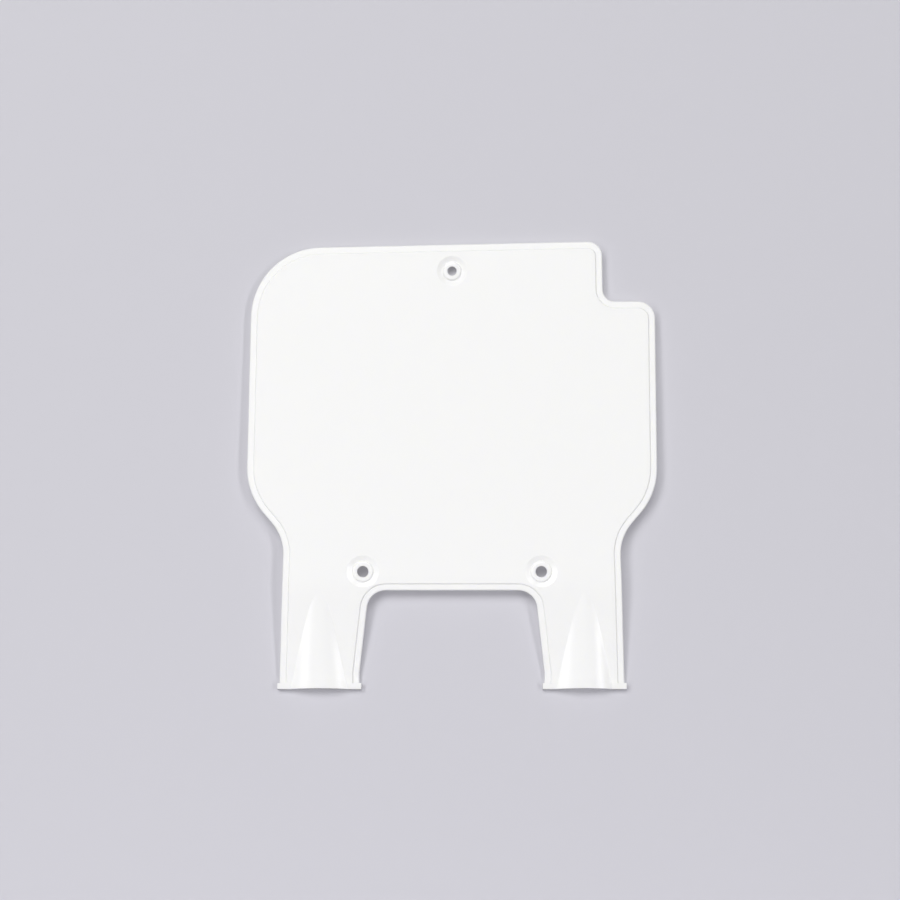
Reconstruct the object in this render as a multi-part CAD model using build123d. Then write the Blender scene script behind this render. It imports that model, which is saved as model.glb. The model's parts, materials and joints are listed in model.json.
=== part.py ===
from build123d import *
import os
from math import acos, cos, radians, sin, tan

# Front number board of an off-road competition motorbike, moulded in one piece.
# X runs across the board, Z up it, and the front looks along -Y. The origin is midway between
# the two lower holes, on the plane where their bosses seat on the fork clamp. Millimetres.

# Wall of the moulding
wall = 2.4

# Board outline, as seen from the front
board_width = 287.9
left_side_lean = 4.2
right_side_lean = 1.8
left_top_height = 226.0
step_top_height = 231.3
notch_width = 36.4
notch_depth = 42.1
notch_side_lean = 0.8
shoulder_height = 55.0
shoulder_foot_height = 24.1
leg_root_span = 235.6
bottom_edge_drop = 13.2
leg_gap_width = 116.6

# Corner radii of the outline
left_top_radius = 50.0
step_radius = 10.0
notch_radius = 8.5
right_top_radius = 12.0
shoulder_radius = 47.0
shoulder_foot_radius = 33.0
leg_gap_radius = 13.5

# Narrow margin all round, set back from the number field
rim_width = 4.2
rim_step = 0.9
edge_chamfer = 0.6

# Legs that lean back beside the fork tubes, with slanted ends
fork_spacing = 187.0
leg_end_width = 56.6
leg_end_drop = 83.4
leg_taper_drop = 71.5
fold_drop = 10.0
fold_angle = 8.0
fold_radius = 90.0
end_angle = 13.0

# Round channel that swells out of each leg over the fork tube, on two softly hollowed feet. Its crown leans
# back less than the leg does.
crown_setback = 0.3
crown_angle = 4.0
crown_start_radius = 24.0
channel_flange = 7.0
foot_radius = 6.0

# Lip right across the end of each leg
lip_height = 4.0
lip_proud = 1.3

# Mounting holes, each on a raised collar in a shallow dish, with a boss behind
lower_hole_spacing = 125.0
lower_hole_diameter = 8.0
lower_collar_diameter = 13.8
lower_dish_depth = 1.4
lower_seat_depth = 5.4
upper_hole_height = 210.5
upper_hole_diameter = 6.5
upper_collar_diameter = 12.0
upper_dish_depth = 1.8
upper_seat_depth = 6.9
collar_flank = 0.6
collar_setback = 0.3
collar_rounding = 1.5
dish_floor_width = 0.5
dish_flank = 3.4
dish_rounding = 0.5
boss_root = 20.0
boss_seat = 14.0

# Working values: cross-sections along a channel, its rise where it and where its hollow begins,
# how far its feet sink into the leg, how far a cut runs clear of the wall it opens, and how far off
# square to the front a face may lean and still count as the side of a sheet
channel_stations = 8
channel_start_rise = 0.05
hollow_start_rise = 0.4
foot_sink = 0.15
cut_clearance = 1.0
side_tolerance = 0.01

# Places that follow from the sizes above
front_y = -lower_seat_depth
leg_axis = fork_spacing / 2
fold_height = -fold_drop
fold_slope = tan(radians(fold_angle))
crown_slope = tan(radians(crown_angle))
leg_length = leg_end_drop - fold_drop
rear_depth = rim_step + wall
open_depth = rear_depth + lip_proud + cut_clearance
deep = 2 * leg_length


def base_depth(drop):
    """Depth of a leg's face behind the number field, at a distance below the fold."""
    return max(drop, 0.0) * fold_slope


def crown_depth(drop):
    """Depth of a channel's crown behind the number field, at a distance below the fold."""
    return crown_setback + drop * crown_slope


def channel_rise(drop):
    """Height of a channel's crown above its feet, at a distance below the fold."""
    return base_depth(drop) + foot_sink - crown_depth(drop)


def drop_at(rise):
    """Distance below the fold at which a channel has grown to a rise."""
    return (rise + crown_setback - foot_sink) / (fold_slope - crown_slope)


def crown_radius(drop):
    """Radius of a channel's crown, which grows evenly until its feet leave the flat flange."""
    end_rise = channel_rise(leg_length)
    end_reach = leg_end_width / 2 - channel_flange
    end_radius = (end_rise**2 + end_reach**2) / (2 * end_rise) - foot_radius
    return crown_start_radius + (end_radius - crown_start_radius) * drop / leg_length


def outline_face(inset):
    """The board's outline on the XZ plane, moved inwards by inset."""
    half = board_width / 2
    end = leg_end_drop + deep / 2
    inner_end = leg_axis - leg_end_width / 2
    outer_end = leg_axis + leg_end_width / 2
    notch_x = half - right_side_lean - notch_width
    notch_floor = step_top_height - notch_depth
    right_leg = [
        ((half, shoulder_height), shoulder_radius),
        ((leg_root_span / 2, shoulder_foot_height), shoulder_foot_radius),
        ((outer_end, -leg_end_drop), 0),
        ((outer_end, -end), 0),
        ((inner_end, -end), 0),
        ((inner_end, -leg_taper_drop), 0),
        ((leg_gap_width / 2, -bottom_edge_drop), leg_gap_radius),
    ]
    left_leg = [((-x, z), radius) for (x, z), radius in reversed(right_leg)]
    corners = [
        ((-half + left_side_lean, left_top_height), left_top_radius),
        ((notch_x - notch_side_lean, step_top_height), step_radius),
        ((notch_x, notch_floor), notch_radius),
        ((half - right_side_lean, notch_floor), right_top_radius),
        *right_leg,
        *left_leg,
    ]
    points = [point for point, radius in corners]
    radii = [radius for point, radius in corners]
    face = make_face(Plane.XZ * FilletPolyline(*points, radius=radii, close=True))
    return offset(face, -inset) if inset else face


def prism(inset):
    """The outline carried through the whole depth of the board."""
    return extrude(outline_face(inset), amount=deep, both=True)


def bent_sheet(setback, thickness):
    """A sheet set back from the number field, flat above the fold and leaning back below it."""
    top = step_top_height + deep
    lean_y = base_depth(deep)
    near = front_y + setback
    far = near + thickness
    inner_fold = fold_height + thickness * tan(radians(fold_angle) / 2)
    slant = thickness / cos(radians(fold_angle))
    front = [(near, top), (near, fold_height), (near + lean_y, fold_height - deep)]
    back = [(near + lean_y + slant, fold_height - deep), (far, inner_fold), (far, top)]
    radii = [0, fold_radius + thickness, 0, 0, fold_radius, 0]
    profile = make_face(Plane.YZ * FilletPolyline(*front, *back, radius=radii, close=True))
    return extrude(profile, amount=board_width, both=True)


def outline_edges(sheet):
    """Edges that run round a bent sheet's outline, on both its skins."""
    sides = sheet.faces().filter_by(lambda face: abs(face.normal_at().Y) < side_tolerance)
    return sides.edges().filter_by(Axis.Y, reverse=True)


def lies_in_front(edge):
    """True for an edge nearer to the number field's face than to its back."""
    middle = edge.center()
    return middle.Y - front_y - base_depth(fold_height - middle.Z) < wall / 2


def channel_section(side, drop, grow, floor_depth):
    """Closed profile across one channel, grown all round: a crown on two feet, shut off behind."""
    crown = crown_radius(drop)
    crown_y = crown_depth(drop)
    reach = crown + foot_radius
    turn = acos(1 - channel_rise(drop) / reach)
    foot_x = reach * sin(turn)
    foot_y = crown_y + channel_rise(drop)
    bend = foot_radius - grow
    joint = ((crown + grow) * sin(turn), crown_y + crown - (crown + grow) * cos(turn))
    middle = (foot_x - bend * sin(turn / 2), foot_y - foot_radius + bend * cos(turn / 2))
    right = [joint, middle, (foot_x, foot_y - grow)]
    left = [(-x, y) for x, y in right]
    floor = base_depth(drop) + floor_depth
    top = ThreePointArc(left[0], (0, crown_y - grow), right[0])
    feet = ThreePointArc(*left) + ThreePointArc(*right)
    back = Polyline(right[-1], (foot_x, floor), (-foot_x, floor), left[-1])
    plane = Plane((side * leg_axis, front_y, fold_height - drop))
    return make_face(plane * (top + feet + back))


def channel(side, start, grow, floor_depth):
    """One fork channel as a smooth body, from start to just past the end of the leg."""
    stop = leg_length + open_depth
    step = (stop - start) / (channel_stations - 1)
    drops = [start + step * index for index in range(channel_stations)]
    return loft([channel_section(side, drop, grow, floor_depth) for drop in drops])


def end_plane(above):
    """Slanted plane across the end of the legs, raised square to itself by above."""
    corner = Vector(0, front_y + base_depth(leg_length), -leg_end_drop)
    up = Vector(0, sin(radians(end_angle)), cos(radians(end_angle)))
    return Plane(corner + up * above, x_dir=(1, 0, 0), z_dir=up)


def hole_tools(x, z, hole_diameter, collar_diameter, dish_depth, seat_depth):
    """Boss behind the number field, and the dish round its collar and the hole that are cut into it."""
    collar = collar_diameter / 2
    floor = collar + collar_flank + dish_floor_width
    mouth = floor + dish_flank
    place = Location((x, front_y, z))
    boss_profile = Polyline(
        (0, wall / 2),
        (boss_root / 2, wall / 2),
        (boss_root / 2, wall),
        (boss_seat / 2, seat_depth),
        (0, seat_depth),
        close=True,
    )
    dish_profile = FilletPolyline(
        (0, -wall),
        (mouth + dish_rounding, -wall),
        (mouth + dish_rounding, 0),
        (mouth, 0),
        (floor, dish_depth),
        (collar + collar_flank, dish_depth),
        (collar, collar_setback),
        (0, collar_setback),
        radius=[0, 0, 0, dish_rounding, 0, 0, collar_rounding, 0],
        close=True,
    )
    boss = place * revolve(make_face(boss_profile), Axis.Y)
    dish = place * revolve(make_face(dish_profile), Axis.Y)
    hole = place * Rot(X=90) * Cylinder(hole_diameter / 2, deep)
    return boss, dish, hole


# Number field with a slanted edge, and the margin set back round it with its edges broken
field = prism(rim_width) & bent_sheet(0, wall)
field = chamfer(outline_edges(field).filter_by(lies_in_front), rim_step)
margin = prism(0) & bent_sheet(rim_step, wall)
margin = chamfer(outline_edges(margin), edge_chamfer)
board = field + (margin - prism(rim_width + wall))

# Lips, cut from a larger copy of the legs and their channels
lips = prism(-lip_proud) & bent_sheet(-lip_proud, lip_proud + rear_depth)
for side in (-1, 1):
    lips += channel(side, leg_length / 2, lip_proud, wall / 2)
board += split(lips, bisect_by=end_plane(lip_height), keep=Keep.BOTTOM)

# Fork channels, hollow behind, and the slanted ends
for side in (-1, 1):
    board += channel(side, drop_at(channel_start_rise), 0, wall / 2)
for side in (-1, 1):
    board -= channel(side, drop_at(hollow_start_rise), -wall, open_depth)
board = split(board, bisect_by=end_plane(0), keep=Keep.TOP)

# Mounting holes
half_spacing = lower_hole_spacing / 2
lower_sizes = (lower_hole_diameter, lower_collar_diameter, lower_dish_depth, lower_seat_depth)
upper_sizes = (upper_hole_diameter, upper_collar_diameter, upper_dish_depth, upper_seat_depth)
holes = [
    (-half_spacing, 0, *lower_sizes),
    (half_spacing, 0, *lower_sizes),
    (0, upper_hole_height, *upper_sizes),
]
for place_and_sizes in holes:
    boss, dish, hole = hole_tools(*place_and_sizes)
    board = board + boss - dish - hole

os.makedirs("parts", exist_ok=True)
export_step(board, "parts/number_board.step")
print(f"number_board: {board.volume / 1000:.1f} cm3, {len(board.solids())} solid")
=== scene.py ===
# %% [markdown]
# # A moulded number board
#
# This lesson dresses one part: the front number board of an off-road competition motorbike. The real
# board is a single injection moulding in white polypropylene. Its shape is finished already, so Blender's
# share is the plastic's finish, the light and the camera. Everything is in metres, X across the board, Z up
# it, and the number field looks along -Y.

# %% Load the finished shape
import json
from math import atan2, cos, degrees, radians, sin

import bpy
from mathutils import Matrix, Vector


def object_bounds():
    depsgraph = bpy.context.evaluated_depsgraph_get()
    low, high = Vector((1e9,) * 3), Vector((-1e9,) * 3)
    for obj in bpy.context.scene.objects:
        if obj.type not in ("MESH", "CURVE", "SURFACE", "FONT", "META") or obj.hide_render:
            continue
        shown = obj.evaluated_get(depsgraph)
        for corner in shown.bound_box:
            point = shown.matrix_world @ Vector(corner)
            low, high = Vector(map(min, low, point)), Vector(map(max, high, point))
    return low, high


mm_per_metre = 1000

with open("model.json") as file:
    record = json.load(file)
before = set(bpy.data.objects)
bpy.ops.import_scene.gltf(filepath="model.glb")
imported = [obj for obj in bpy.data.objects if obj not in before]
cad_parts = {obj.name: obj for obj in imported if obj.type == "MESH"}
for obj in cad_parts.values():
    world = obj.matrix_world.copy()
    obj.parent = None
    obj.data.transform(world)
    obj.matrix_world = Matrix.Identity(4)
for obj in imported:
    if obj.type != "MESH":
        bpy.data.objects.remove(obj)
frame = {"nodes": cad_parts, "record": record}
cad_low, cad_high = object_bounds()
board = frame["nodes"]["number_board"]
board_size = [round(mm_per_metre * side, 1) for side in cad_high - cad_low]
print("board", board_size, "mm,", len(board.data.polygons), "triangles")

# %% [markdown]
# ## Smooth skins, crisp edges
#
# The mesh is a net of triangles laid over flat and curved skins. A moulding shows two kinds of edge: soft
# ones, where a channel swells out of a leg, and crisp ones, such as the step round the number field. Blender
# could work out which is which from the angle between faces, but this mesh carries normals of its own, taken
# from the exact curved skins, and they are better than a guess. So this cell only looks, and the mesh stays
# as it is.

# %% Look at how the board is shaded
smooth_faces = sum(face.use_smooth for face in board.data.polygons)
print("smooth faces", smooth_faces, "of", len(board.data.polygons))
print("normals of its own", board.data.has_custom_normals)

# %% [markdown]
# ## Three helpers for materials
#
# Colours are picked as they look on a screen, so a hex value has to be turned into the linear light that the
# shader works with. The second helper adds one node: plain values are set on its sockets, another node's
# output is linked, and anything else is a setting of the node. The third turns a pattern's real size into a
# scale.


# %% Helpers: colours, nodes and scales
def linear(hex_colour):
    """Linear RGBA for an sRGB hex colour such as F4F4F2, by the curve of the sRGB standard."""
    shares = [int(hex_colour[i:i + 2], 16) / 255 for i in (0, 2, 4)]
    return (*[s / 12.92 if s <= 0.04045 else ((s + 0.055) / 1.055) ** 2.4 for s in shares], 1.0)


def add_node(material, kind, inputs=None, **settings):
    """Adds a node with its settings; an input is a value, or another node's output to link."""
    tree = material.node_tree
    node = tree.nodes.new(kind)
    for name, value in settings.items():
        setattr(node, name, value)
    for socket, value in (inputs or {}).items():
        if isinstance(value, bpy.types.NodeSocket):
            tree.links.new(value, node.inputs[socket])
        else:
            node.inputs[socket].default_value = value
    return node


def per_metre(size_mm):
    """Texture scale that makes a pattern repeat about every size_mm millimetres."""
    return mm_per_metre / size_mm


print("mid grey in linear light", round(linear("808080")[0], 3))

# %% [markdown]
# ## White polypropylene
#
# Polypropylene leaves the mould with a waxy satin gloss. Close to, the skin has a very fine grain from the
# tool's surface, and over a hand's breadth it is never quite flat, because the wall sinks a little as it
# cools. Both are small heights, so a bump gives them without more triangles. The plastic is also a little
# cloudy: light goes a millimetre or two into it and comes out beside, which softens thin edges and narrow
# steps.

# %% White polypropylene: the patterns
plastic = bpy.data.materials.new("moulded_white_polypropylene")
plastic.use_nodes = True
plastic.node_tree.nodes.clear()

# The tool's grain is about a tenth of a millimetre; it is drawn coarser here, so that it shows at all.
grain_mm = 0.7
grain_detail = 2.0
sink_mm = 45.0
sink_detail = 1.0

place = add_node(plastic, "ShaderNodeTexCoord")
grain = add_node(
    plastic, "ShaderNodeTexNoise",
    {"Vector": place.outputs["Object"], "Scale": per_metre(grain_mm), "Detail": grain_detail},
)
sink = add_node(
    plastic, "ShaderNodeTexNoise",
    {"Vector": place.outputs["Object"], "Scale": per_metre(sink_mm), "Detail": sink_detail},
)
print("patterns at", grain_mm, "and", sink_mm, "mm")

# %% White polypropylene: the surface
# Moulded polypropylene is a waxy white with a satin gloss, and its thin edges look soft rather than dark.
plastic_white = "F1F1F0"
plastic_ior = 1.49
gloss_roughness = 0.24
grain_height = 0.000004
sink_height = 0.00012
cloudy_share = 0.6
cloudy_depth = 0.002
cloudy_tint = (1.0, 1.0, 0.9)

waves = add_node(plastic, "ShaderNodeBump", {"Height": sink.outputs[0], "Distance": sink_height})
skin = add_node(
    plastic, "ShaderNodeBump",
    {"Height": grain.outputs[0], "Distance": grain_height, "Normal": waves.outputs[0]},
)
surface = add_node(
    plastic, "ShaderNodeBsdfPrincipled",
    {
        "Base Color": linear(plastic_white),
        "Roughness": gloss_roughness,
        "Normal": skin.outputs[0],
        "IOR": plastic_ior,
        "Subsurface Weight": cloudy_share,
        "Subsurface Radius": cloudy_tint,
        "Subsurface Scale": cloudy_depth,
    },
    subsurface_method="RANDOM_WALK",
)
add_node(plastic, "ShaderNodeOutputMaterial", {"Surface": surface.outputs[0]})
for slot in board.material_slots:
    slot.material = plastic
print("board's slots", [slot.material.name for slot in board.material_slots])

# %% [markdown]
# ## The surface that the board lies against
#
# The board is shown as on a photographer's table, seen from straight above. It rests there on the ends of
# its legs and on the boss behind its upper hole, so the paper stands close behind it and leans by a degree
# or so. Lower down, out of the picture, the paper turns in a wide curve and runs forward as the floor. A
# plane could be bent by hand; extruding one edge and bevelling the fold gives an even curve with few faces.

# %% Where the paper stands
paper_turn = -0.40
# The boss's flat seat is 14 mm across, and its upper edge touches the paper first.
boss_seat_radius = 0.007

mounts = {mount["name"]: mount for mount in frame["record"]["mounts"]}
upper_hole = mounts["upper_mount_hole"]
bore_length = upper_hole["dims"]["length_mm"] / mm_per_metre
boss_back = Vector(upper_hole["pos_m"]) + Vector((0.0, bore_length / 2, boss_seat_radius))
leg_back = Vector((0.0, cad_high.y, cad_low.z))
lean = (leg_back.y - boss_back.y) / (boss_back.z - leg_back.z)
foot_y = leg_back.y + lean * (leg_back.z - paper_turn)
print("paper leans", round(degrees(atan2(lean, 1.0)), 2), "degrees")

# %% Floor of the paper, and its rear edge drawn up
paper_width = 1.5
paper_top = 0.55
paper_front = -2.2
close_by = 0.001


def pick_fold():
    """Selects only the edge where the floor meets the upright paper, and leaves Edit Mode on."""
    bpy.ops.object.mode_set(mode="EDIT")
    bpy.ops.mesh.select_mode(type="EDGE")
    bpy.ops.mesh.select_all(action="DESELECT")
    bpy.ops.object.mode_set(mode="OBJECT")
    for edge in paper.data.edges:
        ends = [paper.data.vertices[index].co for index in edge.vertices]
        edge.select = all(abs(end.y - foot_y) + abs(end.z - paper_turn) < close_by for end in ends)
    bpy.ops.object.mode_set(mode="EDIT")


bpy.ops.object.select_all(action="DESELECT")
bpy.ops.mesh.primitive_plane_add(size=1.0, location=(0.0, (foot_y + paper_front) / 2, paper_turn))
paper = bpy.context.object
paper.name = "paper_sweep"
paper.scale = (paper_width, foot_y - paper_front, 1.0)
bpy.ops.object.transform_apply(location=True, rotation=True, scale=True)
pick_fold()
rise = paper_top - paper_turn
bpy.ops.mesh.extrude_region_move(TRANSFORM_OT_translate={"value": (0.0, -lean * rise, rise)})
bpy.ops.object.mode_set(mode="OBJECT")
print("paper has", len(paper.data.polygons), "faces")

# %% [markdown]
# ## The paper's curve
#
# A real roll of paper can't fold sharply: it hangs in a curve, and that is why no line shows behind the
# object. A Subdivision Surface modifier would round the fold too, but it would round the outer edges as
# well. A bevel works on the one edge, and its number of segments says how round it gets.

# %% Round the fold of the paper
paper_curve = 0.16
curve_segments = 24

pick_fold()
bpy.ops.mesh.bevel(offset=paper_curve, segments=curve_segments, affect="EDGES")
bpy.ops.object.mode_set(mode="OBJECT")
bpy.ops.object.shade_smooth()
print("paper has", len(paper.data.polygons), "faces")

# %% [markdown]
# ## Matte paper, seen from one side
#
# The paper is plain and without gloss. Seen from behind it would hide the back of the board, so its rear
# face is clear, as if the paper had been taken away. Shadow rays pass it too, and a lamp behind can light
# the back.

# %% Matte paper
# Matte paper shows an even pale grey, with no highlight of its own.
paper_grey = "C9C8CE"

paper_finish = bpy.data.materials.new("matte_grey_paper")
paper_finish.use_nodes = True
paper_finish.node_tree.nodes.clear()
sheet = add_node(paper_finish, "ShaderNodeBsdfDiffuse", {"Color": linear(paper_grey)})
clear = add_node(paper_finish, "ShaderNodeBsdfTransparent")
facing = add_node(paper_finish, "ShaderNodeNewGeometry")
# The mix's two shader inputs have the same name, so they are given by number.
one_side = add_node(
    paper_finish, "ShaderNodeMixShader",
    {"Fac": facing.outputs["Backfacing"], 1: sheet.outputs[0], 2: clear.outputs[0]},
)
add_node(paper_finish, "ShaderNodeOutputMaterial", {"Surface": one_side.outputs[0]})
paper.data.materials.append(paper_finish)
paper.visible_shadow = False
paper.visible_glossy = False
paper.visible_transmission = False
front = paper.data.polygons[0].normal
print("first face of the paper looks along", [round(axis, 2) for axis in front])

# %% [markdown]
# ## Soft studio light
#
# A wide softbox stands above the camera, a little to the left, so the board's shadows stay short. Two narrow
# upright softboxes stand at the sides: their reflections are the long streaks on the fork channels, and how
# narrow they are sets how narrow the streaks are. A small one behind lights the back of the board. The paper
# throws some light back, and a faint pale room fills what is left.

# %% Softboxes and surroundings
aim = Vector((0.0, 0.0, 0.07))


def softbox(name, azimuth, elevation, distance, size, power):
    """An area light that looks at the board; azimuth 0 is straight in front, 90 on the right."""
    turn, lift = radians(azimuth), radians(elevation)
    way = Vector((sin(turn) * cos(lift), -cos(turn) * cos(lift), sin(lift)))
    bpy.ops.object.light_add(type="AREA", location=aim + way * distance)
    light = bpy.context.object
    light.name = name
    light.rotation_euler = (-way).to_track_quat("-Z", "Y").to_euler()
    light.data.shape = "RECTANGLE"
    light.data.size, light.data.size_y = size
    light.data.energy = power


softbox("softbox_key", azimuth=-14, elevation=30, distance=6.0, size=(4.6, 2.6), power=228.0)
softbox("softbox_left", azimuth=-36, elevation=4, distance=3.0, size=(0.86, 2.7), power=27.0)
softbox("softbox_right", azimuth=38, elevation=4, distance=4.2, size=(0.64, 3.8), power=54.0)
softbox("softbox_back", azimuth=160, elevation=30, distance=1.6, size=(1.0, 1.0), power=12.0)

room_colour = "F4F4F6"
room_strength = 0.05
world = bpy.data.worlds.new("pale_room")
world.use_nodes = True
room = world.node_tree.nodes["Background"]
room.inputs["Color"].default_value = linear(room_colour)
room.inputs["Strength"].default_value = room_strength
bpy.context.scene.world = world

# %% [markdown]
# ## The camera
#
# The picture was taken square on, from far enough away that the sides of the notch and the legs hardly show.
# A long lens does that. The distance follows from the width of the picture at the number field.

# %% Camera
picture_width = 0.630
picture_centre = Vector((-0.0014, -0.0054, 0.0852))
lens_mm = 85.0
sensor_mm = 36.0
camera_distance = picture_width * lens_mm / sensor_mm
camera_place = picture_centre - Vector((0.0, camera_distance, 0.0))
bpy.ops.object.camera_add(location=camera_place, rotation=(radians(90), 0.0, 0.0))
camera = bpy.context.object
camera.data.lens = lens_mm
camera.data.sensor_width = sensor_mm
camera.data.dof.use_dof = False
bpy.context.scene.camera = camera
bpy.context.scene.view_settings.view_transform = "Standard"
print("camera stands", round(camera_distance, 3), "m in front of the number field")
